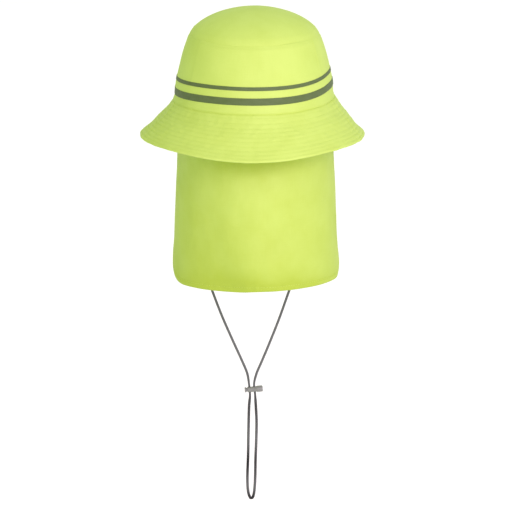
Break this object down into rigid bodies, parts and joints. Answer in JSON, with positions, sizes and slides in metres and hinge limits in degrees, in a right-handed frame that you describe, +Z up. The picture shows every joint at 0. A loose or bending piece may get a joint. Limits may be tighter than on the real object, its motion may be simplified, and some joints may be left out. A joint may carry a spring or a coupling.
{
  "type": "legionnaire sun hat with neck flap and chin cord",
  "caption": "Fluorescent yellow-green bucket hat with a stitched bell brim, a long neck flap, grey reflective tapes round the crown and an elastic chin cord with a cord lock.",
  "frame": {"origin": "centre of the head opening, in the plane of the seam between crown and brim, where the hat sits on a head", "axes": "+Z up through the crown, +Y the way the wearer faces, so the neck flap hangs at -Y, and +X the wearer's right"},
  "size_m": [0.2344, 0.2664, 0.5386],
  "materials": {
    "hat_fabric": "matt woven polyester cotton, fluorescent yellow-green",
    "reflective_tape": "satin grey glass-bead tape",
    "elastic_cord": "matt braided elastic",
    "lock_plastic": "moulded, satin"
  },
  "bodies": {
    "hat": {"crown_top": "hat_fabric", "crown_side": "hat_fabric", "brim": "hat_fabric", "neck_flap": "hat_fabric", "reflective_tape_wide": "reflective_tape", "reflective_tape_narrow": "reflective_tape", "cord_tab_left": "hat_fabric", "cord_tab_right": "hat_fabric", "chin_cord": "elastic_cord", "lock_barrel": "lock_plastic"},
    "button": {"lock_button": "lock_plastic"}
  },
  "joints": [
    {"name": "button_press", "type": "slide", "parent": "hat", "child": "button", "axis": [0.9962, 0, 0.0872], "range_m": [0, 0.0009], "stiffness_N_per_m": 300}
  ]
}
